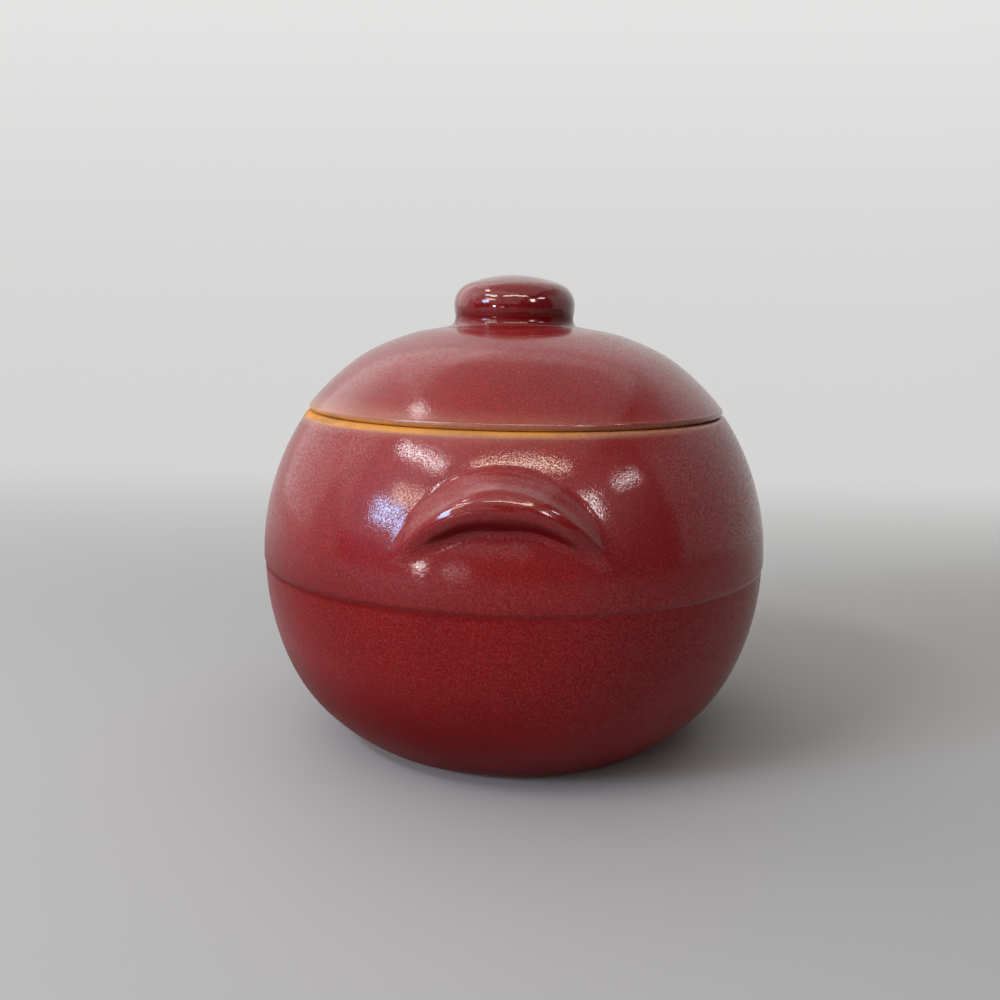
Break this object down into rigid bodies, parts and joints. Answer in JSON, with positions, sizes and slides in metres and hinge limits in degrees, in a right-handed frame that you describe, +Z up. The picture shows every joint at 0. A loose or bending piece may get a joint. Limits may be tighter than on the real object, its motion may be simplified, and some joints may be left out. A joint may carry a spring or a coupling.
{
  "type": "grease jar",
  "caption": "Round glazed stoneware grease jar with a pair of arched lug handles and a domed, flanged lid that lifts off by its knob.",
  "frame": {"origin": "middle of the ring that stands on the table, at table height", "axes": "+Z up along the jar's axis, front lug towards -Y, rear lug towards +Y, +X to the right seen from the front"},
  "size_m": [0.162, 0.1678, 0.1479],
  "materials": {
    "maroon_glaze": "eggshell-textured maroon glaze over buff stoneware, thin and ochre at the rims",
    "gloss_glaze": "smoother, glossier coat of the same maroon glaze"
  },
  "bodies": {
    "jar": {"lower_bowl": "maroon_glaze", "upper_shoulder": "maroon_glaze", "front_lug": "gloss_glaze", "rear_lug": "gloss_glaze"},
    "lid": {"lid_dome": "maroon_glaze", "lid_knob": "gloss_glaze"}
  },
  "joints": [
    {"name": "lid_lift", "type": "slide", "parent": "jar", "child": "lid", "axis": [0, 0, 1], "range_m": [0, 0.1]}
  ]
}
